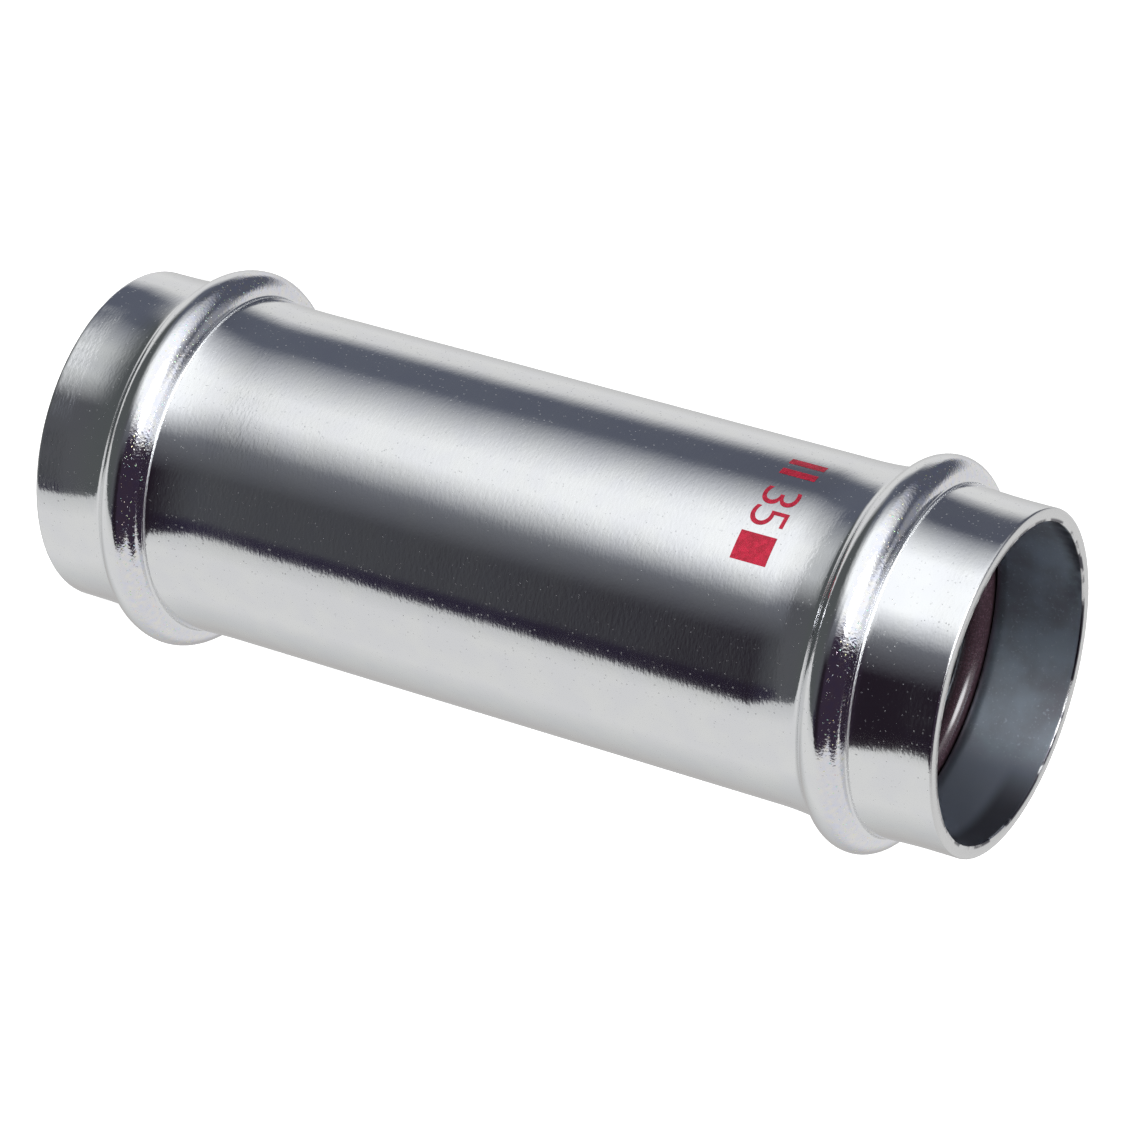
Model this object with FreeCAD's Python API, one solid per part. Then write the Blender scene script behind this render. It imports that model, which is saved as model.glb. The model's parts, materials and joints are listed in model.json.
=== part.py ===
"""Slip-type press coupling for 35 mm thin-walled steel pipe.

The coupling stands on its lower mouth. The origin is on the tube's axis, in the plane of that
mouth, and +Z runs along the axis to the upper mouth. All sizes are in millimetres.

It has three pieces: the formed steel sleeve, and one O-ring in the groove inside each bead.
"""
import FreeCAD, Part
import math
import os
from FreeCAD import Vector

# The pipe that the coupling takes, and the tube that it is formed from
pipe_diameter = 35.0
pipe_clearance = 0.2          # radial room round the pipe, so that it slides in by hand
wall = 1.5
coupling_length = 112.0

# The O-rings, and how they lie in their grooves
seal_section = 2.9            # diameter of the O-ring's round section
seal_pipe_gap = 0.05          # from the O-ring to the pipe before it is pressed
seal_crest_gap = 0.3          # from the O-ring to the bottom of its groove
seal_side_gap = 0.05          # from the O-ring to each side of the groove's round bottom

# The rolled beads. Both lean the same way: steep towards the upper mouth, gentle behind
crest_from_mouth = 12.2
bead_wall = 1.25              # the sheet thins as the bead is rolled out
bead_lean = 0.25              # taken off the crest's round on the steep side, added on the gentle one
upper_foot_round = 0.4        # outside radius where the steep side meets the tube
lower_foot_round = 1.3        # outside radius where the gentle side meets the tube

# Before each foot the outer face rises slightly over some length, with a large radius: the toe
upper_toe_length = 6.4        # before the steep side
upper_toe_round = 70.0
lower_toe_length = 5.4        # before the gentle side
lower_toe_round = 35.0

# The mouths: the cut edge is broken a little, outside and inside
mouth_outer_round = 0.25
mouth_inner_chamfer = 0.1

# Worked out from the sizes above
bore_radius = pipe_diameter / 2 + pipe_clearance
tube_radius = bore_radius + wall
seal_inner_radius = pipe_diameter / 2 + seal_pipe_gap
seal_centre_radius = seal_inner_radius + seal_section / 2
groove_radius = seal_inner_radius + seal_section + seal_crest_gap
bead_radius = groove_radius + bead_wall
groove_round = seal_section / 2 + seal_side_gap
lower_crest_z = crest_from_mouth
upper_crest_z = coupling_length - crest_from_mouth

AXIS_POINT = Vector(0, 0, 0)
AXIS = Vector(0, 0, 1)
FULL_TURN = 360
UPPER = +1
LOWER = -1


def section_point(radius, height):
    """A point of the section, which lies in the XZ plane."""
    return Vector(radius, 0, height)


def line(start, end):
    return Part.LineSegment(start, end).toShape()


def arc(centre, radius, start, end):
    """An arc about centre. Its angles are counted from the radial direction towards +Z."""
    def on_arc(angle):
        return centre + Vector(radius * math.cos(angle), 0, radius * math.sin(angle))
    return Part.Arc(on_arc(start), on_arc((start + end) / 2), on_arc(end)).toShape()


def rise(start, corner, end):
    """A flat curve from start to end, tangent there to the lines that meet at corner."""
    curve = Part.BezierCurve()
    curve.setPoles([start, corner, end])
    return curve.toShape()


class BeadSide:
    """One side of a bead's line: an arc out of the tube and an arc over the crest, tangent.

    depth is how far the line lies inside the sleeve's outer face: (0, 0) for the outside, and
    the sheet's thickness at the crest and at the tube for the inside, where the crest's round is
    tighter and the foot's is wider. A bead taller than the two arcs reach has a straight upright
    stretch between them.

    On the outside a toe leads into the foot: a long flat curve, as the sheet is drawn up a little
    before it turns. Inside there is none, so that the bore holds the pipe right up to the groove.
    """

    def __init__(self, side, crest_z, depth=(0.0, 0.0), has_toe=False):
        crest_depth, tube_depth = depth
        if side == UPPER:
            toe_length, toe_round, foot_round = upper_toe_length, upper_toe_round, upper_foot_round
        else:
            toe_length, toe_round, foot_round = lower_toe_length, lower_toe_round, lower_foot_round
        self.side = side
        self.crest_z = crest_z
        self.crest_round = bead_wall + groove_round - side * bead_lean - crest_depth
        self.foot_round = foot_round + tube_depth
        self.base_radius = tube_radius - tube_depth
        self.top_radius = bead_radius - crest_depth

        self.toe_turn = math.asin(toe_length / toe_round) if has_toe else 0.0
        foot_bottom = self.base_radius + toe_round * (1 - math.cos(self.toe_turn))
        foot_centre_radius = foot_bottom + self.foot_round * math.cos(self.toe_turn)
        crest_centre_radius = self.top_radius - self.crest_round
        arcs_reach = self.crest_round + self.foot_round
        self.turn = math.acos(max(0.0, (foot_centre_radius - crest_centre_radius) / arcs_reach))
        self.upright = foot_centre_radius < crest_centre_radius
        self.foot_z = crest_z + side * arcs_reach * math.sin(self.turn)
        self.foot_centre = section_point(foot_centre_radius, self.foot_z)
        self.crest_centre = section_point(crest_centre_radius, crest_z)

        toe_end_z = self.foot_z - side * self.foot_round * math.sin(self.toe_turn)
        self.start_z = toe_end_z + side * toe_round * math.sin(self.toe_turn)
        self.toe_start = section_point(self.base_radius, self.start_z)
        self.toe_corner = self.toe_start - Vector(0, 0, side * toe_round * math.tan(self.toe_turn / 2))
        self.toe_end = section_point(foot_bottom, toe_end_z)

    def edges(self):
        side = self.side
        foot_start = math.pi + side * self.toe_turn
        edges = [arc(self.foot_centre, self.foot_round, foot_start, math.pi + side * self.turn)]
        if self.toe_turn > 0:
            edges.insert(0, rise(self.toe_start, self.toe_corner, self.toe_end))
        if self.upright:
            upright_z = self.crest_z + side * self.crest_round
            edges.append(line(section_point(self.foot_centre.x, upright_z),
                              section_point(self.crest_centre.x, upright_z)))
        edges.append(arc(self.crest_centre, self.crest_round, side * self.turn, 0))
        return edges


def sleeve_face(depth, mouth_break, has_toe=False):
    """One face of the sleeve from mouth to mouth: collar, bead, body, bead, collar."""
    radius = tube_radius - depth[1]
    edges = []
    z = mouth_break
    for crest_z in (lower_crest_z, upper_crest_z):
        lower = BeadSide(LOWER, crest_z, depth, has_toe)
        upper = BeadSide(UPPER, crest_z, depth, has_toe)
        edges.append(line(section_point(radius, z), section_point(radius, lower.start_z)))
        edges.extend(lower.edges() + upper.edges())
        z = upper.start_z
    edges.append(line(section_point(radius, z), section_point(radius, coupling_length - mouth_break)))
    return edges


def mouth_edges(mouth_z, inward):
    """The cut end of the tube: a rounded outer edge, the flat ring and a small inner chamfer.

    inward is +1 at the lower mouth and -1 at the upper one.
    """
    round_centre = section_point(tube_radius - mouth_outer_round, mouth_z + inward * mouth_outer_round)
    ring_outer = section_point(round_centre.x, mouth_z)
    ring_inner = section_point(bore_radius + mouth_inner_chamfer, mouth_z)
    chamfer_end = section_point(bore_radius, mouth_z + inward * mouth_inner_chamfer)
    return [arc(round_centre, mouth_outer_round, 0, -inward * math.pi / 2),
            line(ring_outer, ring_inner),
            line(ring_inner, chamfer_end)]


def make_sleeve():
    """The formed tube: one wall section turned about the axis."""
    outside = sleeve_face((0.0, 0.0), mouth_outer_round, has_toe=True)
    inside = sleeve_face((bead_wall, wall), mouth_inner_chamfer)
    mouths = mouth_edges(0.0, +1) + mouth_edges(coupling_length, -1)
    section = Part.Wire(Part.sortEdges(outside + inside + mouths)[0])
    return Part.Face(section).revolve(AXIS_POINT, AXIS, FULL_TURN)


def seal_height_over_crest():
    """Height of the O-ring's centre over the crest, where it is as far from one lip as the other.

    A lip is the round where the groove's side meets the bore.
    """
    lips = [BeadSide(side, 0.0, (bead_wall, wall)) for side in (UPPER, LOWER)]

    def room(lip, height):
        reach = math.hypot(lip.foot_z - height, lip.foot_centre.x - seal_centre_radius)
        return reach - lip.foot_round

    low, high = lips[1].foot_z, lips[0].foot_z
    for _ in range(60):
        middle = (low + high) / 2
        if room(lips[0], middle) > room(lips[1], middle):
            low = middle
        else:
            high = middle
    return (low + high) / 2


def make_seal(crest_z):
    """One O-ring, seated in the groove of the bead whose crest is at crest_z."""
    centre = Vector(0, 0, crest_z + seal_height_over_crest())
    return Part.makeTorus(seal_centre_radius, seal_section / 2, centre, AXIS)


def main():
    os.makedirs("parts", exist_ok=True)
    parts = {
        "sleeve": make_sleeve(),
        "lower_seal": make_seal(lower_crest_z),
        "upper_seal": make_seal(upper_crest_z),
    }
    for name, shape in parts.items():
        shape.exportStep("parts/" + name + ".step")
        print(name, "valid", shape.isValid(), "solids", len(shape.Solids),
              "volume", round(shape.Volume, 1), "height", round(shape.BoundBox.ZLength, 2))
    print("bead diameter", round(2 * bead_radius, 2), "tube diameter", round(2 * tube_radius, 2))


main()
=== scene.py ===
# %% [markdown]
# A press coupling for 35 mm steel pipe
#
# This lesson dresses a small plumbing part for its portrait: a zinc-plated steel coupling, a plain
# tube with a rolled bead near each end and an O-ring hidden inside each bead. Its construction is
# already done and comes in as a fixed frame. Here it gets its looks: smooth mirror-like meshes, the
# grain of the plating, the glossy rubber, a small red size mark, and a studio to be seen in.

# %% Load the frame
import json
import math
import bpy
import numpy as np
from mathutils import Matrix, Vector


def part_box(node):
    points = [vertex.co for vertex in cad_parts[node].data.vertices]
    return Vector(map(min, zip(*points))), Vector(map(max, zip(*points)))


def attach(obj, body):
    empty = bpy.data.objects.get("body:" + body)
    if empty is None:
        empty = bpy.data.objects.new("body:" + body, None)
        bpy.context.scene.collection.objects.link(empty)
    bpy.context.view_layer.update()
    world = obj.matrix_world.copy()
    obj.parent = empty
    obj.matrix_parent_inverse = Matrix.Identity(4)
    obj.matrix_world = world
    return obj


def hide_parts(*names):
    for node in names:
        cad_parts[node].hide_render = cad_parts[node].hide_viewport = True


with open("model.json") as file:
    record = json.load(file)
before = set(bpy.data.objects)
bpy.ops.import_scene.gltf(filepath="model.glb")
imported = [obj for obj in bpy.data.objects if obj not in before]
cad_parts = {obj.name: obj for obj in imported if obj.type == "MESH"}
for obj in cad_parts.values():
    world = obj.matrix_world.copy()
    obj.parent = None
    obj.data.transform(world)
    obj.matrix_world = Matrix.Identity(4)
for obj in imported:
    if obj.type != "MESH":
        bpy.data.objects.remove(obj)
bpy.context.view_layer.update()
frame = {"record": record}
MM = 0.001
FULL_TURN = 2 * math.pi

# %% [markdown]
# The sizes that the frame gives
#
# Nothing in this file is measured twice. The length, the beads' width and the O-rings' place are
# read from the frame's own pieces, and the bore from the mount that the pipe goes into. Only what
# the frame can't say, such as the thickness of the sheet, is written here, in millimetres.

# %% Sizes from the frame, in millimetres
sleeve_low, sleeve_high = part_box("sleeve")
coupling_length = (sleeve_high.z - sleeve_low.z) / MM
bead_radius = sleeve_high.x / MM
mounts = {mount["name"]: mount for mount in frame["record"]["mounts"]}
bore_radius = mounts["upper_socket"]["dims"]["r_mm"]
wall = 1.5
tube_radius = bore_radius + wall

bead_wall = 1.25              # the sheet thins as the bead is rolled out
crest_from_mouth = 12.2
bead_lean = 0.25              # the beads are steep towards the upper mouth and gentle behind
upper_foot_round = 0.4
lower_foot_round = 1.3
upper_toe_length = 6.4        # the sheet rises a little before it turns up into a bead
upper_toe_round = 70.0
lower_toe_length = 5.4
lower_toe_round = 35.0
groove_round = 1.5            # the groove's round bottom, inside the crest
mouth_outer_round = 0.25
mouth_inner_chamfer = 0.1

seal_section = 2.9
seal_inner_radius = 17.55
seal_centre_radius = seal_inner_radius + seal_section / 2
seal_height = {}
for name in ("upper_seal", "lower_seal"):
    low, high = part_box(name)
    seal_height[name] = (low.z + high.z) / 2 / MM
print("tube radius", tube_radius, "bead radius", round(bead_radius, 3), "O-rings at", seal_height)

# %% [markdown]
# Small helpers
#
# Blender's operators act on whatever is selected, so a lesson that drives them needs two habits:
# deselect everything before a new piece starts, and pick vertices by their place instead of by
# hand. The helpers below hold those habits, so that the cells after them can stay short.


# %% Helpers for pieces
def start_fresh():
    """Leaves nothing selected, so that the next operator touches only what it makes."""
    if bpy.context.mode != "OBJECT":
        bpy.ops.object.mode_set(mode="OBJECT")
    bpy.ops.object.select_all(action="DESELECT")


def name_piece(name):
    """Names the object that an operator has just made, and its mesh."""
    piece = bpy.context.active_object
    piece.name = name
    piece.data.name = name
    return piece


def apply_place(piece):
    """Puts a piece's turn, place and scale into its mesh, so that its object sits at the origin."""
    start_fresh()
    piece.select_set(True)
    bpy.context.view_layer.objects.active = piece
    bpy.ops.object.transform_apply(location=True, rotation=True, scale=True)


def report_piece(piece):
    """Prints a piece's number of triangles, and its lowest and highest corner in millimetres."""
    piece.data.calc_loop_triangles()
    low = np.min([v.co for v in piece.data.vertices], axis=0) / MM
    high = np.max([v.co for v in piece.data.vertices], axis=0) / MM
    print(piece.name, len(piece.data.loop_triangles), "triangles, from", low.round(2), "to", high.round(2))


# %% [markdown]
# The line of the wall
#
# A lathe or a roller makes a body of revolution, and in Blender the twin of that is the Spin tool:
# draw half a section, then sweep it round the axis. The section here is a closed loop: up the
# outside from the lower mouth, over both beads, round the upper mouth and back down the bore. Each
# side of a bead is two arcs, one out of the tube and one over the crest, which meet without a kink.
# The beads lean: their steep side faces the upper mouth, as the roller left them. Outside, a long
# flat arc leads into each bead like a toe. It lifts the face by only a third of a millimetre, but
# a mirror shows it at once: the reflections bend towards the bead.

# %% One side of a bead
UPPER = +1
LOWER = -1
guard = 0.2                   # distance of a guard point from the end of an arc
toe_steps = 12
foot_steps = 8
crest_steps = 16


def arc_points(centre, radius, start, end, steps):
    """Points on an arc. Angles count from the radial direction towards +Z."""
    angles = [start + (end - start) * i / steps for i in range(steps + 1)]
    return [(centre[0] + radius * math.cos(a), centre[1] + radius * math.sin(a)) for a in angles]


def bead_side(side, crest_z, crest_depth=0.0, tube_depth=0.0, has_toe=False):
    """One side of a bead as (radius, height) points, from the tube to the crest.

    The depths say how far the line lies inside the steel's outer face, at the crest and the tube.
    """
    toe_length, toe_round, foot_round = (
        (upper_toe_length, upper_toe_round, upper_foot_round) if side == UPPER
        else (lower_toe_length, lower_toe_round, lower_foot_round))
    foot_round += tube_depth
    crest_round = bead_wall + groove_round - side * bead_lean - crest_depth
    base_radius = tube_radius - tube_depth
    toe_turn = math.asin(toe_length / toe_round) if has_toe else 0.0
    foot_bottom = base_radius + toe_round * (1 - math.cos(toe_turn))
    foot_centre_radius = foot_bottom + foot_round * math.cos(toe_turn)
    crest_centre_radius = bead_radius - crest_depth - crest_round
    turn = math.acos(max(0.0, (foot_centre_radius - crest_centre_radius) / (crest_round + foot_round)))
    foot_z = crest_z + side * (crest_round + foot_round) * math.sin(turn)
    start_z = foot_z + side * (toe_round - foot_round) * math.sin(toe_turn)

    toe_end = math.pi + side * toe_turn
    foot_end = math.pi + side * turn
    toe = arc_points((base_radius + toe_round, start_z), toe_round, math.pi, toe_end, toe_steps)
    foot = arc_points((foot_centre_radius, foot_z), foot_round, toe_end, foot_end, foot_steps)
    crest = arc_points((crest_centre_radius, crest_z), crest_round, side * turn, 0, crest_steps)
    start = [(base_radius, start_z + side * guard)]
    return start + (toe + foot[1:] if has_toe else foot) + crest[1:]


outer_side = bead_side(UPPER, crest_from_mouth, has_toe=True)
print("a bead's steep side outside has", len(outer_side), "points")

# %% [markdown]
# The whole section
#
# A mirror shows every flaw in a mesh's normals. Where a long straight face meets a small arc, the
# shared vertices lean halfway between the two and the whole long face would show a bent
# reflection. A guard point close to each joint keeps that lean inside a fifth of a millimetre.

# %% Points of the section
mouth_steps = 5


def face_of_wall(crest_depth, tube_depth, mouth_break, has_toe=False):
    """One face of the wall, from the lower mouth to the upper one."""
    radius = tube_radius - tube_depth
    points = [(radius, mouth_break), (radius, mouth_break + guard)]
    for crest_z in (crest_from_mouth, coupling_length - crest_from_mouth):
        points += bead_side(LOWER, crest_z, crest_depth, tube_depth, has_toe)
        points += bead_side(UPPER, crest_z, crest_depth, tube_depth, has_toe)[-2::-1]
    points += [(radius, coupling_length - mouth_break - guard), (radius, coupling_length - mouth_break)]
    return points


def mouth_points(mouth_z, inward):
    """The cut end, from the outside in: a rounded edge, the flat ring and a small chamfer."""
    centre = (tube_radius - mouth_outer_round, mouth_z + inward * mouth_outer_round)
    rounded = arc_points(centre, mouth_outer_round, 0, -inward * math.pi / 2, mouth_steps)
    ring_inner = (bore_radius + mouth_inner_chamfer, mouth_z)
    return rounded[1:] + [ring_inner]


outside = face_of_wall(0.0, 0.0, mouth_outer_round, has_toe=True)
inside = face_of_wall(bead_wall, wall, mouth_inner_chamfer)
section = outside + mouth_points(coupling_length, -1) + inside[::-1] + mouth_points(0.0, +1)[::-1]
print("the section has", len(section), "points")

# %% [markdown]
# The sleeve
#
# One vertex is pulled from point to point round the section, the loop is closed, and Spin sweeps
# it once round the axis in 288 steps. The first and last copies of the section lie on each other,
# so doubles are merged, and then the normals are turned to face out of the steel.
#
# A saw leaves no perfect edge. The two edges of each cut end are shifted at random by a few
# thousandths of a millimetre, which is enough to break up the light that runs along them.

# %% Draw the section and spin it
spin_steps = 288
merge_distance = 0.001 * MM


def section_place(point):
    """Where a (radius, height) point of the section lies, in the XZ plane."""
    return Vector((point[0], 0.0, point[1])) * MM


def draw_section(points):
    """Leaves edit mode on, with the closed section drawn in the XZ plane and selected."""
    bpy.ops.mesh.primitive_plane_add(size=MM)
    bpy.ops.object.mode_set(mode="EDIT")
    bpy.ops.mesh.merge(type="CENTER")
    bpy.ops.transform.translate(value=section_place(points[0]))
    for before, after in zip(points, points[1:] + points[:1]):
        step = section_place(after) - section_place(before)
        bpy.ops.mesh.extrude_region_move(TRANSFORM_OT_translate={"value": step})
    bpy.ops.mesh.select_all(action="SELECT")
    bpy.ops.mesh.remove_doubles(threshold=merge_distance)


def spin_round_axis(steps):
    """Sweeps what is drawn once round the axis, closes it, and leaves edit mode."""
    bpy.ops.mesh.select_all(action="SELECT")
    bpy.ops.mesh.spin(steps=steps, angle=FULL_TURN, center=(0, 0, 0), axis=(0, 0, 1))
    bpy.ops.mesh.select_all(action="SELECT")
    bpy.ops.mesh.remove_doubles(threshold=merge_distance)
    bpy.ops.mesh.normals_make_consistent(inside=False)
    bpy.ops.object.mode_set(mode="OBJECT")


start_fresh()
draw_section(section)
spin_round_axis(spin_steps)
sleeve = name_piece("plated_sleeve")
report_piece(sleeve)

# %% Roughen the cut ends and finish the sleeve
crease_angle = math.radians(50)
mouth_depth = 0.27            # how far the broken edges of the cut ends reach
inner_edge = (bore_radius - 0.01, bore_radius + 0.15)
outer_edge = (tube_radius - 0.24, tube_radius + 0.01)
inner_burr = 0.006            # how uneven the cut ends' edges are
outer_burr = 0.008
inner_seed = 3
outer_seed = 5


def in_mouth_zone(vertex, low_radius, high_radius):
    """Whether a vertex lies on a mouth's cut end, between two radii in mm."""
    radius = vertex.co.xy.length / MM
    from_mouth = min(vertex.co.z, coupling_length * MM - vertex.co.z) / MM
    return from_mouth < mouth_depth and low_radius < radius < high_radius


def roughen_edge(piece, edge, offset, seed):
    """Shifts the vertices of the cut ends between two radii at random, up to offset in mm."""
    bpy.ops.object.mode_set(mode="EDIT")
    bpy.ops.mesh.select_mode(type="VERT")
    bpy.ops.mesh.select_all(action="DESELECT")
    bpy.ops.object.mode_set(mode="OBJECT")
    for vertex in piece.data.vertices:
        vertex.select = in_mouth_zone(vertex, *edge)
    bpy.ops.object.mode_set(mode="EDIT")
    bpy.ops.transform.vertex_random(offset=offset * MM, uniform=1.0, seed=seed)
    bpy.ops.object.mode_set(mode="OBJECT")


roughen_edge(sleeve, inner_edge, inner_burr, inner_seed)
roughen_edge(sleeve, outer_edge, outer_burr, outer_seed)
bpy.ops.object.shade_smooth_by_angle(angle=crease_angle)
report_piece(sleeve)
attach(sleeve, "root")
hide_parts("sleeve")

# %% [markdown]
# The O-rings
#
# A moulded O-ring is a plain torus but for one thing: the two halves of its mould meet on its
# inner circumference and leave a hair-fine seam there, which shows as a thin line when light
# grazes the ring. So that one row of vertices is drawn in towards the axis, by two hundredths of a
# millimetre. The second ring is a copy with its own mesh, moved down to the lower bead.

# %% Model one O-ring and copy it
ring_steps = 256
ring_section_steps = 48
mould_seam = 0.02
upper_place = Vector((0, 0, seal_height["upper_seal"])) * MM
lower_place = Vector((0, 0, seal_height["lower_seal"])) * MM

start_fresh()
bpy.ops.mesh.primitive_torus_add(
    major_radius=seal_centre_radius * MM, minor_radius=seal_section / 2 * MM,
    major_segments=ring_steps, minor_segments=ring_section_steps, location=upper_place)
upper_ring = name_piece("upper_o_ring")
apply_place(upper_ring)
for vertex in upper_ring.data.vertices:
    vertex.select = vertex.co.xy.length < (seal_inner_radius + mould_seam / 2) * MM
bpy.ops.object.mode_set(mode="EDIT")
seam_scale = 1 - mould_seam / seal_inner_radius
bpy.ops.transform.resize(value=(seam_scale, seam_scale, 1), center_override=upper_place)
bpy.ops.object.mode_set(mode="OBJECT")
bpy.ops.object.shade_smooth()

bpy.ops.object.duplicate(linked=False)
lower_ring = name_piece("lower_o_ring")
bpy.ops.transform.translate(value=lower_place - upper_place)
apply_place(lower_ring)

for ring, node in ((upper_ring, "upper_seal"), (lower_ring, "lower_seal")):
    report_piece(ring)
    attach(ring, "root")
    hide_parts(node)

# %% [markdown]
# The size mark
#
# The maker prints the pipe size on the tube in red, close to the upper bead, so that a fitter can
# read it with the coupling held in one hand. It is a thin film of ink, so it is modelled as flat
# shapes: the number as text turned into a mesh, and a few plain blocks beside it. They are laid
# out flat first and cut into narrow strips, and then a Bend modifier rolls them to the tube's
# radius. The film stands off the steel by little more than a hundredth of a millimetre.

# %% Lay out the mark flat
mark_height = 4.2             # height of the digits along the tube
digit_width = 2.5
bar_width = 1.1
square_width = 3.4
bar_places = (0.0, 2.2)       # left edges, round the tube
digit_places = {"3": 5.6, "5": 8.5}
square_place = 12.0
digit_thinning = -0.008       # takes a little off the strokes of the typeface


def place_flat(piece, left, width):
    """Scales a flat piece to mark_height and width, with its lower left corner at (left, 0)."""
    apply_place(piece)
    xs = [v.co.x for v in piece.data.vertices]
    ys = [v.co.y for v in piece.data.vertices]
    piece.scale = (width * MM / (max(xs) - min(xs)), mark_height * MM / (max(ys) - min(ys)), 1)
    apply_place(piece)
    xs = [v.co.x for v in piece.data.vertices]
    ys = [v.co.y for v in piece.data.vertices]
    piece.location = (left * MM - min(xs), -min(ys), 0)
    apply_place(piece)


def add_digit(digit, left):
    """Adds a digit of the mark as a flat mesh."""
    start_fresh()
    bpy.ops.object.text_add()
    bpy.context.active_object.data.body = digit
    bpy.context.active_object.data.offset = digit_thinning
    bpy.ops.object.convert(target="MESH")
    piece = name_piece("digit_" + digit)
    place_flat(piece, left, digit_width)
    return piece


def add_block(left, width):
    """Adds a plain block of the mark."""
    start_fresh()
    bpy.ops.mesh.primitive_plane_add(size=MM)
    piece = name_piece("block")
    place_flat(piece, left, width)
    return piece


mark_pieces = [add_block(left, bar_width) for left in bar_places]
mark_pieces += [add_digit(digit, left) for digit, left in digit_places.items()]
mark_pieces.append(add_block(square_place, square_width))
start_fresh()
for piece in mark_pieces:
    piece.select_set(True)
bpy.context.view_layer.objects.active = mark_pieces[0]
bpy.ops.object.join()
size_mark = name_piece("size_mark")
mark_width = max(v.co.x for v in size_mark.data.vertices) / MM
print("the mark is", round(mark_width, 2), "mm wide")

# %% Cut it into strips and roll it on
mark_low_z = 84.9
mark_middle_angle = math.radians(-37)
ink_proud = 0.015
ink_radius = tube_radius + ink_proud
strip_width = 0.25

bpy.ops.object.mode_set(mode="EDIT")
for i in range(1, int(mark_width / strip_width) + 1):
    bpy.ops.mesh.select_all(action="SELECT")
    bpy.ops.mesh.bisect(plane_co=(i * strip_width * MM, 0, 0), plane_no=(1, 0, 0))
bpy.ops.object.mode_set(mode="OBJECT")
size_mark.location = (-mark_width / 2 * MM, 0, 0)
apply_place(size_mark)
size_mark.rotation_euler = (math.pi / 2, 0, 0)
apply_place(size_mark)
bend = size_mark.modifiers.new("roll on", "SIMPLE_DEFORM")
bend.deform_method = "BEND"
bend.deform_axis = "Z"
bend.angle = mark_width / ink_radius
bpy.ops.object.modifier_apply(modifier=bend.name)
size_mark.location = (0, -ink_radius * MM, mark_low_z * MM)
apply_place(size_mark)
size_mark.rotation_euler = (0, 0, mark_middle_angle)
apply_place(size_mark)
report_piece(size_mark)
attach(size_mark, "root")

# %% [markdown]
# Colours and nodes
#
# A screen colour such as #CDCDCD is what the eye reads off a photograph, but a renderer adds up
# light, so each colour is turned into linear values once, by one function. A second function adds
# a shader node together with its settings and its links, which keeps every material below down to
# a list of its ideas.
#
# Three of those ideas come back in every finish. One is the piece's own coordinates in
# millimetres, so that each pattern has a real size. One is a noise with blotches of a given size.
# It lies mostly between 0.3 and 0.7, and half of it lies over 0.5. The third is a zone: a mask that
# is 1 where every one of its limits is met. Each limit says at which value the zone starts and at
# which it is full, and in between the edge is soft.


# %% Helpers for materials
def linear(hex_colour):
    """The linear colour of an sRGB hex value such as "#CDCDCD"."""
    values = [int(hex_colour[i:i + 2], 16) / 255 for i in (1, 3, 5)]
    return [v / 12.92 if v <= 0.04045 else ((v + 0.055) / 1.055) ** 2.4 for v in values] + [1.0]


def add_node(tree, kind, inputs=None, **settings):
    """Adds a node. An input is a value, another node's output, or a node for its first output."""
    node = tree.nodes.new(kind)
    for name, value in settings.items():
        setattr(node, name, value)
    for socket, value in (inputs or {}).items():
        if isinstance(value, bpy.types.Node):
            value = value.outputs[0]
        if isinstance(value, bpy.types.NodeSocket):
            tree.links.new(value, node.inputs[socket])
        else:
            node.inputs[socket].default_value = value
    return node


def new_material(name):
    """An empty material and its node tree."""
    material = bpy.data.materials.new(name)
    material.use_nodes = True
    material.node_tree.nodes.clear()
    return material, material.node_tree


def give_material(material, *pieces):
    """Makes a material the only one of each piece."""
    for piece in pieces:
        piece.data.materials.clear()
        piece.data.materials.append(material)
        print(material.name, "on", piece.name, "with", len(material.node_tree.nodes), "nodes")


def set_stops(ramp_node, stops):
    """Puts (position, hex colour) stops on a colour ramp."""
    ramp = ramp_node.color_ramp
    while len(ramp.elements) < len(stops):
        ramp.elements.new(1.0)
    for element, (position, colour) in zip(ramp.elements, stops):
        element.position = position
        element.color = linear(colour)


# %% Helpers for patterns
def place_in_mm(tree):
    """The piece's own coordinates, in millimetres."""
    place = add_node(tree, "ShaderNodeTexCoord").outputs["Object"]
    return add_node(tree, "ShaderNodeVectorMath", {0: place, "Scale": 1 / MM}, operation="SCALE")


def blotches(tree, mm, size, along=None, detail=2.0):
    """A noise whose blotches are size mm wide, and along mm in the tube's direction if given."""
    squeeze = (1 / size, 1 / size, 1 / (along or size))
    squeezed = add_node(tree, "ShaderNodeVectorMath", {0: mm, 1: squeeze}, operation="MULTIPLY")
    return add_node(tree, "ShaderNodeTexNoise", {
        "Vector": squeezed, "Scale": 1.0, "Detail": detail, "Roughness": 0.5})


def zone(tree, *limits):
    """1 where every limit is met. A limit is (value, where the zone starts, where it is full)."""
    masks = [add_node(tree, "ShaderNodeMapRange", {
        "Value": value, "From Min": start, "From Max": full}, interpolation_type="SMOOTHSTEP")
        for value, start, full in limits]
    whole = masks[0]
    for mask in masks[1:]:
        whole = add_node(tree, "ShaderNodeMath", {0: whole, 1: mask}, operation="MULTIPLY")
    return whole


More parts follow.
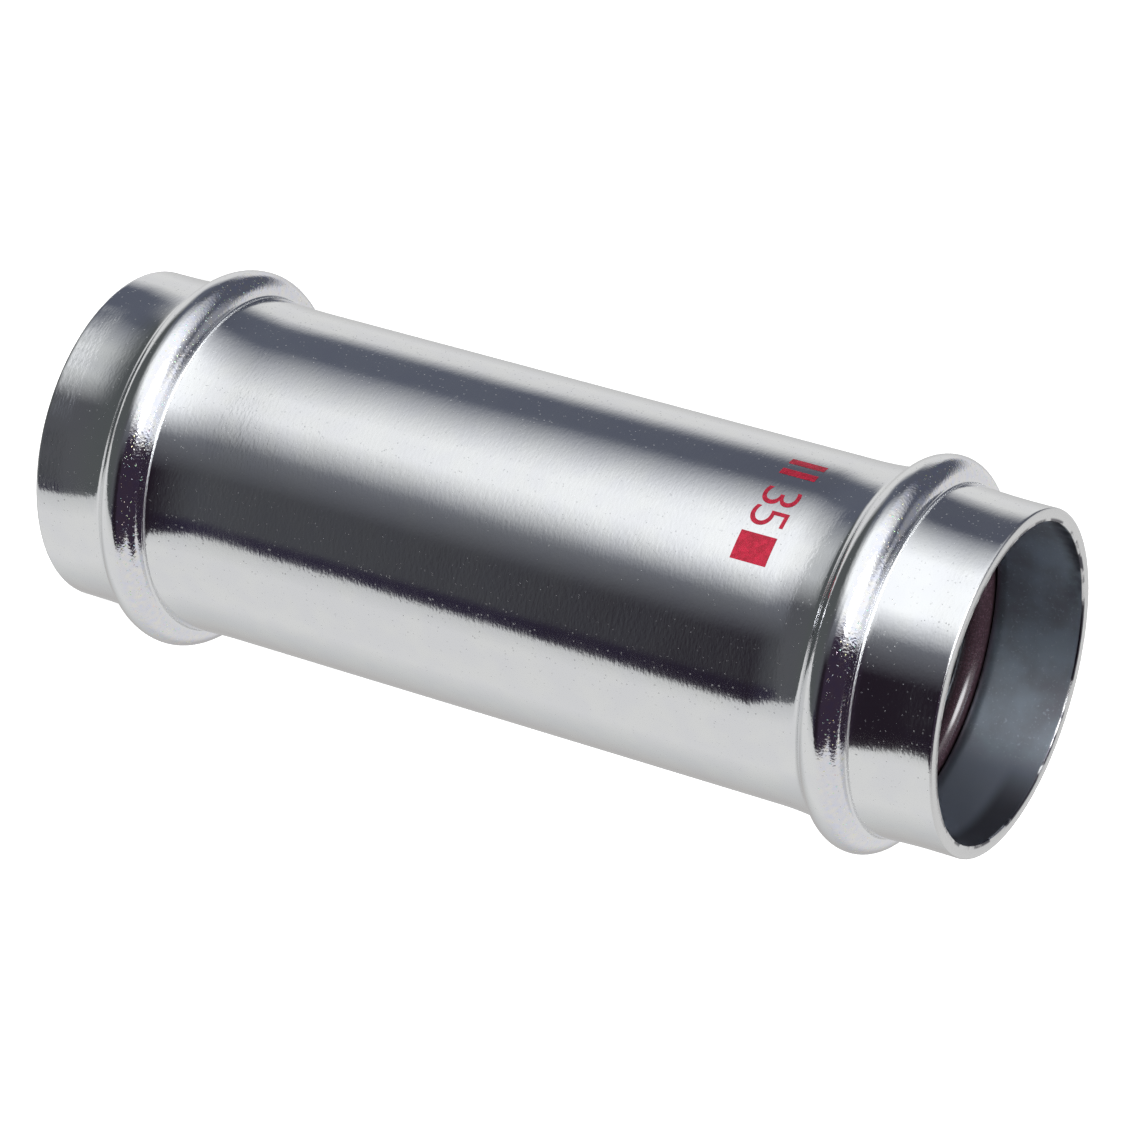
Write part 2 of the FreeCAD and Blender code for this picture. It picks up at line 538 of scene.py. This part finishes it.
# %% [markdown]
# Zinc plate
#
# The steel is electroplated with zinc and passivated clear: a mirror with a faint blue cast, over
# a sheet that was drawn and rolled. A painted image could hold its texture, but noises in the
# piece's own coordinates need no unwrapping, have no seam and stay sharp from close by.
#
# The tube isn't quite round, and waves a few millimetres wide make the reflected cards' edges
# wander. Drawing marks run round the tube and fray those edges into short strokes: one noise
# squeezed along the tube, 0.8 mm long round it and 0.33 mm wide. A finer grain lies over all of
# it, and here and there a speck of dull zinc.
#
# The shape shows as well. The steep flanks of the beads, where the sheet is stretched most, are
# grainy and glitter in faint colours, and the roller has scuffed the crease at their foot. Plating
# reaches badly into a bore, so the bore is dull and cloudy. Shade is painted into its colour as
# well: dark blotches towards both sides just inside the mouths, a darker side all along, and a
# darkest patch on that side just inside the mouths. The cut ends are paler, with dark chips along
# their inner edge.

# %% Sizes of the plate's texture, in millimetres
wave_size = 7.0
wave_height = 0.030
stroke_round = 0.8            # length of a drawing mark round the tube
stroke_along = 0.33           # and its width along the tube
stroke_height = 0.0065
grain_size = 0.30
grain_height = 0.0025
flank_grain = 7.0             # how many times as high the grain is on the steep flanks
speck_spacing = 0.52
speck_radius = 0.11
glint_spacing = 0.36          # the steep flanks glitter more finely
mottle_size = 3.5
tint_size = 0.7               # the faint colours of the steep flanks
cloud_size = 6.0              # the clouds of the bore's dull plating, which also shape its painted shade near the mouths
chip_size = 3.4
rim_shade = 0.34              # how far the chips reach from the bore
print("drawing marks are", stroke_round, "mm long and", stroke_along, "mm wide")

# %% Levels and depths that make zones: where each starts, and where it is full
mottle_levels = (0.35, 0.65)
dull_levels = (0.3, 0.7)
speck_levels = (0.35, 0.65)   # of the random value of each cell
glint_levels = (0.45, 0.6)
cloud_levels = (0.34, 0.64)
frost_levels = (0.60, 0.80)   # the bore's pale grains
mouth_shade_blotch_levels = (0.66, 0.40)
chip_levels = (0.55, 0.45)
chip_radii = (bore_radius + 1.4 * rim_shade, bore_radius + 0.6 * rim_shade)
bore_facing = (-1.0, -6.0)    # a face's distance from the axis, times the share that it turns out
cut_depth = (0.30, 0.12)      # millimetres from the mouth
# Where shade is painted into the bore: its depth from the mouths, and how far it reaches to the sides
mouth_shade_depth = (2.6, 0.5)
dark_depth = (4.2, 2.4)
mouth_shade_sides = (8.0, 13.5)      # millimetres from the axis, towards both sides
shaded_side = (4.5, 10.0)     # and towards the side with painted shade alone
dark_side = (7.0, 13.5)
print("the cut ends start", cut_depth[0], "mm from the mouth, and their chips at a radius of", chip_radii[0])

# %% The plate's coordinates
plate, tree = new_material("zinc_electroplate")
mm = place_in_mm(tree)
normal = add_node(tree, "ShaderNodeTexCoord").outputs["Normal"]
axes = add_node(tree, "ShaderNodeSeparateXYZ", {0: mm})
to_dark_side = axes.outputs["X"]
along = axes.outputs["Z"]
to_either_side = add_node(tree, "ShaderNodeMath", {0: to_dark_side}, operation="ABSOLUTE")
from_axis = add_node(tree, "ShaderNodeVectorMath", {0: mm, 1: (1, 1, 0)}, operation="MULTIPLY")
radius = add_node(tree, "ShaderNodeVectorMath", {0: from_axis}, operation="LENGTH").outputs["Value"]
outward = add_node(
    tree, "ShaderNodeVectorMath", {0: from_axis, 1: normal}, operation="DOT_PRODUCT").outputs["Value"]
from_upper_mouth = add_node(tree, "ShaderNodeMath", {0: coupling_length, 1: along}, operation="SUBTRACT")
from_mouth = add_node(tree, "ShaderNodeMath", {0: along, 1: from_upper_mouth}, operation="MINIMUM")
print("the plate reads its place in", len(tree.nodes), "nodes")

# %% Where the plate changes
flank_start = 0.0             # heights over a bead's crest, in millimetres
flank_full = 1.0
flank_top = 2.6
flank_end = 3.2
crease_height = 2.72
scuff_width = 0.16
bead_start = tube_radius + 0.3
bead_full = tube_radius + 0.9

in_bore = zone(tree, (outward, *bore_facing))
cut_edge = zone(tree, (from_mouth, *cut_depth))
steep_sides = []
scuffs = []
for crest_z in (crest_from_mouth, coupling_length - crest_from_mouth):
    steep_sides.append(zone(
        tree, (along, crest_z + flank_start, crest_z + flank_full),
        (along, crest_z + flank_end, crest_z + flank_top), (radius, bead_start, bead_full)))
    over_crease = add_node(
        tree, "ShaderNodeMath", {0: along, 1: crest_z + crease_height}, operation="SUBTRACT")
    from_crease = add_node(tree, "ShaderNodeMath", {0: over_crease}, operation="ABSOLUTE")
    scuffs.append(zone(tree, (from_crease, scuff_width, 0.4 * scuff_width)))
flanks = add_node(tree, "ShaderNodeMath", {0: steep_sides[0], 1: steep_sides[1]}, operation="ADD")
scuffed = add_node(tree, "ShaderNodeMath", {0: scuffs[0], 1: scuffs[1]}, operation="MAXIMUM")
print("steep flanks up to", flank_end, "mm over the crests, scuffed at", crease_height)

# %% The plate's relief
waves = blotches(tree, mm, wave_size, detail=0.0)
strokes = blotches(tree, mm, stroke_round, along=stroke_along)
grain = blotches(tree, mm, grain_size, detail=1.0)
grain_factor = add_node(tree, "ShaderNodeMix", {"Factor": flanks, 2: 1.0, 3: flank_grain})
raised_grain = add_node(tree, "ShaderNodeMath", {0: grain, 1: grain_factor}, operation="MULTIPLY")
relief = None
for pattern, pattern_height in (
        (waves, wave_height), (strokes, stroke_height), (raised_grain, grain_height)):
    below = {"Normal": relief} if relief else {}
    relief = add_node(tree, "ShaderNodeBump", {
        "Height": pattern, "Distance": pattern_height * MM, "Strength": 1.0, **below})
print("the relief's layers are", [wave_height, stroke_height, grain_height], "mm high")

# %% Specks and glints
speck_start = 1.3 * speck_radius / speck_spacing
speck_full = 0.4 * speck_radius / speck_spacing
glint_start = 0.34            # in shares of the spacing
glint_full = 0.14

cells = add_node(tree, "ShaderNodeTexVoronoi", {"Vector": mm, "Scale": 1 / speck_spacing})
specks = zone(
    tree, (cells.outputs["Distance"], speck_start, speck_full),
    (cells.outputs["Color"], *speck_levels))
fine_cells = add_node(tree, "ShaderNodeTexVoronoi", {"Vector": mm, "Scale": 1 / glint_spacing})
glint_colour = fine_cells.outputs["Color"]
all_glints = zone(
    tree, (fine_cells.outputs["Distance"], glint_start, glint_full), (glint_colour, *glint_levels))
glints = add_node(tree, "ShaderNodeMath", {0: all_glints, 1: flanks}, operation="MULTIPLY")
pale_glints = add_node(tree, "ShaderNodeMix", {
    "Factor": 0.5, 6: linear("#F4F0EA"), 7: glint_colour}, data_type="RGBA").outputs[2]
print("specks every", speck_spacing, "mm and glints every", glint_spacing)

# %% Colours of the bore and of the cut ends
clouds = blotches(tree, mm, cloud_size, detail=4.0)
# Painted shade: dark blotches in the bore just inside the mouths, towards both sides
painted_mouth_shade = zone(
    tree, (from_mouth, *mouth_shade_depth), (clouds, *mouth_shade_blotch_levels), (to_either_side, *mouth_shade_sides))
# Painted shade: the bore darker on its +X side all along, and darkest there just inside the mouths
shaded = zone(tree, (to_dark_side, *shaded_side))
darkest = zone(tree, (to_dark_side, *dark_side), (from_mouth, *dark_depth))
bore_colour = linear("#A3A5AD")
for where, colour in (
        (zone(tree, (clouds, *cloud_levels)), "#B8C3CD"),
        (zone(tree, (grain, *frost_levels)), "#CBD3DA"),
        # the last three colours are painted shade
        (painted_mouth_shade, "#47464D"), (shaded, "#888D98"), (darkest, "#55555C")):
    bore_colour = add_node(tree, "ShaderNodeMix", {
        "Factor": where, 6: bore_colour, 7: linear(colour)}, data_type="RGBA").outputs[2]

chips = zone(
    tree, (radius, *chip_radii), (blotches(tree, mm, chip_size, detail=4.0), *chip_levels))
cut_colour = add_node(tree, "ShaderNodeMix", {
    "Factor": chips, 6: linear("#D2D2D2"), 7: linear("#4C4B52")}, data_type="RGBA").outputs[2]
print("the plate has", len(tree.nodes), "nodes so far")

# %% Colour and gloss of the plate
mottle = blotches(tree, mm, mottle_size)
tints = add_node(tree, "ShaderNodeValToRGB", {0: blotches(tree, mm, tint_size, detail=1.0)})
set_stops(tints, [(0.32, "#D6D8E4"), (0.46, "#DADADF"), (0.58, "#DDDCDE"), (0.72, "#E1DFDA")])

zinc = linear("#DCDDDF")
for where, colour in (
        (zone(tree, (mottle, *mottle_levels)), linear("#DFE0E0")),
        (flanks, tints), (glints, pale_glints), (in_bore, bore_colour), (cut_edge, cut_colour)):
    zinc = add_node(tree, "ShaderNodeMix", {
        "Factor": where, 6: zinc, 7: colour}, data_type="RGBA").outputs[2]

roughness = 0.085
for where, level in (
        (zone(tree, (mottle, *dull_levels)), 0.11),
        (specks, 0.42), (glints, 0.5), (scuffed, 0.5), (in_bore, 0.55), (cut_edge, 0.26)):
    roughness = add_node(tree, "ShaderNodeMix", {"Factor": where, 2: roughness, 3: level})

metal = add_node(tree, "ShaderNodeBsdfPrincipled", {
    "Base Color": zinc, "Metallic": 1.0, "Roughness": roughness, "Normal": relief})
add_node(tree, "ShaderNodeOutputMaterial", {"Surface": metal})
give_material(plate, sleeve)

# %% [markdown]
# Rubber and ink
#
# The O-rings are a dark brown rubber. They are greased so that the pipe slides in, and the film of
# grease gives them a clear gloss with soft smears in it. The ink is a solid red that dries a little
# unevenly, with a satin surface.

# %% Rubber
smear_size = 2.5
smear_height = 0.01
dust_size = 0.25
dust_levels = (0.45, 0.75)

rubber, tree = new_material("greased_rubber")
mm = place_in_mm(tree)
smears = blotches(tree, mm, smear_size)
dust = zone(tree, (blotches(tree, mm, dust_size), *dust_levels))
rubber_colour = add_node(tree, "ShaderNodeMix", {
    "Factor": dust, 6: linear("#2C2025"), 7: linear("#3A2B32")}, data_type="RGBA").outputs[2]
roughness = add_node(tree, "ShaderNodeMix", {"Factor": smears, 2: 0.14, 3: 0.24})
relief = add_node(tree, "ShaderNodeBump", {
    "Height": smears, "Distance": smear_height * MM, "Strength": 1.0})
skin = add_node(tree, "ShaderNodeBsdfPrincipled", {
    "Base Color": rubber_colour, "Roughness": roughness, "IOR": 1.52,
    "Coat Weight": 0.4, "Coat Roughness": 0.1, "Normal": relief})
add_node(tree, "ShaderNodeOutputMaterial", {"Surface": skin})
give_material(rubber, upper_ring, lower_ring)

# %% Ink
ink_patch_size = 0.6
ink_patch_height = 0.004
ink_patch_levels = (0.35, 0.7)

ink, tree = new_material("printing_ink")
mm = place_in_mm(tree)
ink_patches = blotches(tree, mm, ink_patch_size)
bright_ink = zone(tree, (ink_patches, *ink_patch_levels))
ink_colour = add_node(tree, "ShaderNodeMix", {
    "Factor": bright_ink, 6: linear("#900826"), 7: linear("#AA1233")}, data_type="RGBA").outputs[2]
relief = add_node(tree, "ShaderNodeBump", {
    "Height": ink_patches, "Distance": ink_patch_height * MM, "Strength": 1.0})
film = add_node(tree, "ShaderNodeBsdfPrincipled", {
    "Base Color": ink_colour, "Roughness": 0.4, "IOR": 1.45, "Normal": relief})
add_node(tree, "ShaderNodeOutputMaterial", {"Surface": film})
give_material(ink, size_mark)

# %% [markdown]
# The studio
#
# Polished metal has no look of its own: it shows the room. So the room is designed first, the way
# a photographer does it for cutlery, with white cards, a softbox and black flags that stand round
# the piece at chosen bearings. Here they are painted on the world, as a wall of several tiers that
# goes once round the upright tube. The camera itself sees only white.

# %% The colours of the cards
PALE = "#CDCDCD"
PALE_SIDE = "#B8B8B8"
PALE_BEHIND = "#A4A4A4"
SHEET_FAR = "#BCBDBD"
SHEET = "#CFCFCF"
SHEET_NEAR = "#A8A6A5"
CHARCOAL = "#565A66"
CHARCOAL_HIGH = "#50535E"
UNDER_SOFTBOX = "#B6B8B9"
SOFTBOX_FOOT = "#E6E7E8"
SOFTBOX = "#FBFDFF"
STEEL_GREY = "#84868C"
GREY_CARD = "#B2B4B8"
DUSK = "#686A70"
HAZE = "#4F5054"
SHADE = "#434448"
SHADE_EDGE = "#2B2737"
FLAG = "#201A22"
FLAG_HIGH = "#322937"
GROUND = "#4E5152"

# %% Bearings and heights in the studio
world = bpy.data.worlds.new("studio")
bpy.context.scene.world = world
world.use_nodes = True
tree = world.node_tree
tree.nodes.clear()

direction = add_node(tree, "ShaderNodeTexCoord").outputs["Generated"]
axes = add_node(tree, "ShaderNodeSeparateXYZ", {0: direction})
height = axes.outputs["Z"]
to_camera = add_node(tree, "ShaderNodeMath", {0: axes.outputs["Y"], 1: -1.0}, operation="MULTIPLY")
bearing = add_node(tree, "ShaderNodeMath", {0: axes.outputs["X"], 1: to_camera}, operation="ARCTAN2")
round_wall = add_node(tree, "ShaderNodeMapRange", {
    "Value": bearing, "From Min": -math.pi, "From Max": math.pi})


def tier(stops):
    """One tier of cards, from (bearing, colour) stops: 0 is -Y, where the camera is, and +90 is +X."""
    ramp = add_node(tree, "ShaderNodeValToRGB", {0: round_wall})
    set_stops(ramp, [((degrees + 180) / 360, colour) for degrees, colour in stops])
    return ramp.outputs[0]


def height_of(degrees):
    """The height of a direction that points so many degrees over the horizon."""
    return math.sin(math.radians(degrees))


def above(lower, upper, low_degrees, high_degrees):
    """The lower tier up to the first height over the horizon, and the upper one from the second."""
    risen = zone(tree, (height, height_of(low_degrees), height_of(high_degrees)))
    return add_node(tree, "ShaderNodeMix", {
        "Factor": risen, 6: lower, 7: upper}, data_type="RGBA").outputs[2]


# %% Paint the tiers of cards
ground_tier = tier([(-180, PALE_BEHIND), (-148, PALE), (-116, PALE), (-92, GROUND), (60, GROUND)])
low_tier = tier([
    (-180, PALE_BEHIND), (-160, PALE_SIDE), (-145, PALE), (-128, PALE), (-112, CHARCOAL),
    (-82, CHARCOAL), (-54, UNDER_SOFTBOX), (-32, UNDER_SOFTBOX), (-12, HAZE), (60, HAZE)])
middle_tier = tier([
    (-180, PALE_BEHIND), (-160, PALE_SIDE), (-145, PALE), (-126, PALE), (-113, CHARCOAL),
    (-90, CHARCOAL), (-50, SOFTBOX_FOOT), (-34, SOFTBOX_FOOT), (-9, DUSK), (14, SHADE),
    (44, SHADE), (49, SHADE_EDGE), (60, SHADE_EDGE)])
high_tier = tier([
    (-180, PALE_BEHIND), (-160, PALE_SIDE), (-145, PALE), (-132, PALE), (-117, CHARCOAL_HIGH),
    (-93, CHARCOAL_HIGH), (-60, SOFTBOX), (-25, SOFTBOX), (-5, DUSK), (18, FLAG), (60, FLAG)])
tall_tier = tier([
    (-180, PALE), (-152, PALE), (-139, CHARCOAL_HIGH), (-102, CHARCOAL_HIGH), (-86, GREY_CARD),
    (-64, SOFTBOX), (-12, SOFTBOX), (2, FLAG_HIGH), (60, FLAG_HIGH)])
shoulder_tier = tier([
    (-180, PALE), (-150, STEEL_GREY), (-122, STEEL_GREY), (-100, CHARCOAL_HIGH), (-86, STEEL_GREY),
    (-70, GREY_CARD), (-48, SOFTBOX), (-4, SOFTBOX), (10, FLAG_HIGH), (170, FLAG_HIGH)])
crown = tier([(-180, SOFTBOX), (0, SOFTBOX), (14, FLAG_HIGH), (166, FLAG_HIGH), (180, SOFTBOX)])

wall_colour = ground_tier
for upper_tier, low_degrees, high_degrees in (
        (low_tier, -48, -35), (middle_tier, -32.3, -30.3), (high_tier, -29.6, -19.5),
        (tall_tier, -14, -2), (shoulder_tier, 34, 48)):
    wall_colour = above(wall_colour, upper_tier, low_degrees, high_degrees)
print("the wall has six tiers and a crown")

# %% [markdown]
# The white sheet
#
# The pale streak along the side that lies lowest in the picture is a sheet of white card, which
# stands beside the tube. Its edge is cut at a slant: it moves further round as it rises from the
# floor, and further still near the top.

# %% Paint the white sheet
edge_low, edge_high = -31, -15          # degrees over the horizon
edge_bearing_low, edge_bearing_high = 54, 66
lean_low, lean_high = 40, 62
lean_reach = 60
edge_softness = 2.2

sheet = tier([
    (-180, PALE_BEHIND), (56, SHEET_FAR), (72, SHEET), (110, SHEET), (132, SHEET_FAR),
    (156, SHEET_NEAR), (180, PALE_BEHIND)])
sheet = above(sheet, linear(SHEET), -10, 15)
sheet_edge = add_node(tree, "ShaderNodeMapRange", {
    "Value": height, "From Min": height_of(edge_low), "From Max": height_of(edge_high),
    "To Min": math.radians(edge_bearing_low), "To Max": math.radians(edge_bearing_high)})
edge_lean = add_node(tree, "ShaderNodeMapRange", {
    "Value": height, "From Min": height_of(lean_low), "From Max": height_of(lean_high),
    "To Max": math.radians(lean_reach)})
past_edge = add_node(tree, "ShaderNodeMath", {0: bearing, 1: sheet_edge}, operation="SUBTRACT")
past_lean = add_node(tree, "ShaderNodeMath", {0: past_edge, 1: edge_lean}, operation="SUBTRACT")
on_sheet = zone(tree, (past_lean, 0.0, math.radians(edge_softness)))
wall_colour = add_node(tree, "ShaderNodeMix", {
    "Factor": on_sheet, 6: wall_colour, 7: sheet}, data_type="RGBA").outputs[2]
whole_colour = above(wall_colour, crown, 60, 74)
print("the sheet starts at a bearing of", edge_bearing_low, "degrees")

# %% [markdown]
# Light on the cards
#
# The zinc gives back only about three quarters of what it sees, so for mirrored rays the cards are
# a third brighter than they are painted. The softbox has a much brighter core, which leaves the
# white flare on the beads and the highlight on the rubber. Rays that aren't mirrored meet a plain
# dim white, so that the ink and the rubber keep their colours, and the camera meets pure white.

# %% The softbox's bright core and what each ray meets
mirror_gain = 1.36
core_gain = 12.0
core_bearing = math.radians(-26)
core_height = math.radians(37)
core_start = math.radians(21)           # angles from the core's middle
core_full = math.radians(9)
plain_level = 0.14

core_place = (math.sin(core_bearing) * math.cos(core_height),
              -math.cos(core_bearing) * math.cos(core_height),
              math.sin(core_height))
towards_core = add_node(tree, "ShaderNodeVectorMath", {
    0: direction, 1: core_place}, operation="DOT_PRODUCT").outputs["Value"]
core = zone(tree, (towards_core, math.cos(core_start), math.cos(core_full)))
brightness = add_node(tree, "ShaderNodeMix", {"Factor": core, 2: mirror_gain, 3: core_gain})
cards = add_node(tree, "ShaderNodeBackground", {"Color": whole_colour, "Strength": brightness})
plain = add_node(tree, "ShaderNodeBackground", {"Color": linear("#FFFFFF"), "Strength": plain_level})
white = add_node(tree, "ShaderNodeBackground", {"Color": linear("#FFFFFF"), "Strength": 1.0})
path = add_node(tree, "ShaderNodeLightPath")
mirrored = add_node(tree, "ShaderNodeMath", {
    0: path.outputs["Is Glossy Ray"], 1: path.outputs["Is Transmission Ray"]}, operation="MAXIMUM")
lit = add_node(tree, "ShaderNodeMixShader", {0: mirrored, 1: plain, 2: cards})
seen = add_node(tree, "ShaderNodeMixShader", {0: path.outputs["Is Camera Ray"], 1: lit, 2: white})
add_node(tree, "ShaderNodeOutputWorld", {"Surface": seen})
print("the studio has", len(tree.nodes), "nodes")

# %% [markdown]
# Floor and lamp
#
# The coupling stands on a wide pale floor, which is white to the camera and hidden from mirrored
# rays, because the tiers already paint what the metal sees below it. One soft lamp from the front
# and above lights the ink and the rubber. It is hidden from mirrored rays too.

# %% Floor
floor_side = 12.0
floor_glow = 0.8

start_fresh()
bpy.ops.mesh.primitive_plane_add(size=floor_side, location=(0, 0, sleeve_low.z))
floor = name_piece("floor")
floor.visible_glossy = False
floor_paint, tree = new_material("floor_paint")
matt = add_node(tree, "ShaderNodeBsdfDiffuse", {"Color": linear("#DADADA")})
glow = add_node(tree, "ShaderNodeEmission", {"Color": linear("#FFFFFF"), "Strength": floor_glow})
no_glow = add_node(tree, "ShaderNodeEmission", {"Strength": 0.0})
path = add_node(tree, "ShaderNodeLightPath")
seen_glow = add_node(tree, "ShaderNodeMixShader", {
    0: path.outputs["Is Camera Ray"], 1: no_glow, 2: glow})
both = add_node(tree, "ShaderNodeAddShader", {0: matt, 1: seen_glow})
add_node(tree, "ShaderNodeOutputMaterial", {"Surface": both})
give_material(floor_paint, floor)

# %% Lamp
lamp_place = Vector((0.0, -0.55, 0.75))
lamp_target = Vector((0.0, 0.0, 0.05))
lamp_size = 0.5
lamp_power = 13.0

start_fresh()
bpy.ops.object.light_add(type="AREA", location=lamp_place)
lamp = bpy.context.active_object
lamp.name = "key_lamp"
lamp.data.shape = "DISK"
lamp.data.size = lamp_size
lamp.data.energy = lamp_power
lamp.visible_glossy = False
lamp.rotation_euler = (lamp_place - lamp_target).to_track_quat("Z", "Y").to_euler()
print("lamp at", [round(c, 2) for c in lamp.location], "of", lamp_power, "W")

# %% [markdown]
# The camera
#
# The photograph shows the coupling lying across the picture, near mouth to the right, taken from
# well above its axis. Here the coupling stands on its end, so the camera is the one that lies
# over: it keeps the photograph's angle to the tube and is rolled. The tube's axis slants down to
# the right by 16 degrees and comes forward by 26.

# %% Camera
image_side = 1127             # pixels of the photograph
sensor_side = 36.0
focal_pixels = 4880.0
axis_slant = 0.2785           # radians, down to the right in the picture
axis_forward = 0.4499         # radians, out of the picture
middle_in_view = Vector((-1.197, 1.123, -538.5)) * MM      # the tube's middle, as the camera sees it
tube_middle = Vector((0, 0, coupling_length / 2)) * MM
nearest_seen = 0.01

up_the_tube = Vector((math.cos(axis_forward) * math.cos(axis_slant),
                      -math.cos(axis_forward) * math.sin(axis_slant),
                      math.sin(axis_forward)))
behind = (middle_in_view - up_the_tube * middle_in_view.dot(up_the_tube)).normalized()
beside = behind.cross(up_the_tube)
view_to_model = Matrix((beside, behind, up_the_tube))
camera_place = tube_middle - view_to_model @ middle_in_view
bpy.ops.object.camera_add()
camera = bpy.context.active_object
camera.name = "camera"
camera.matrix_world = Matrix.Translation(camera_place) @ view_to_model.to_4x4()
camera.data.sensor_width = sensor_side
camera.data.lens = focal_pixels * sensor_side / image_side
camera.data.clip_start = nearest_seen
bpy.context.scene.camera = camera
bpy.context.scene.view_settings.view_transform = "Standard"
print("camera at", [round(c, 4) for c in camera.location], "lens", round(camera.data.lens, 2))
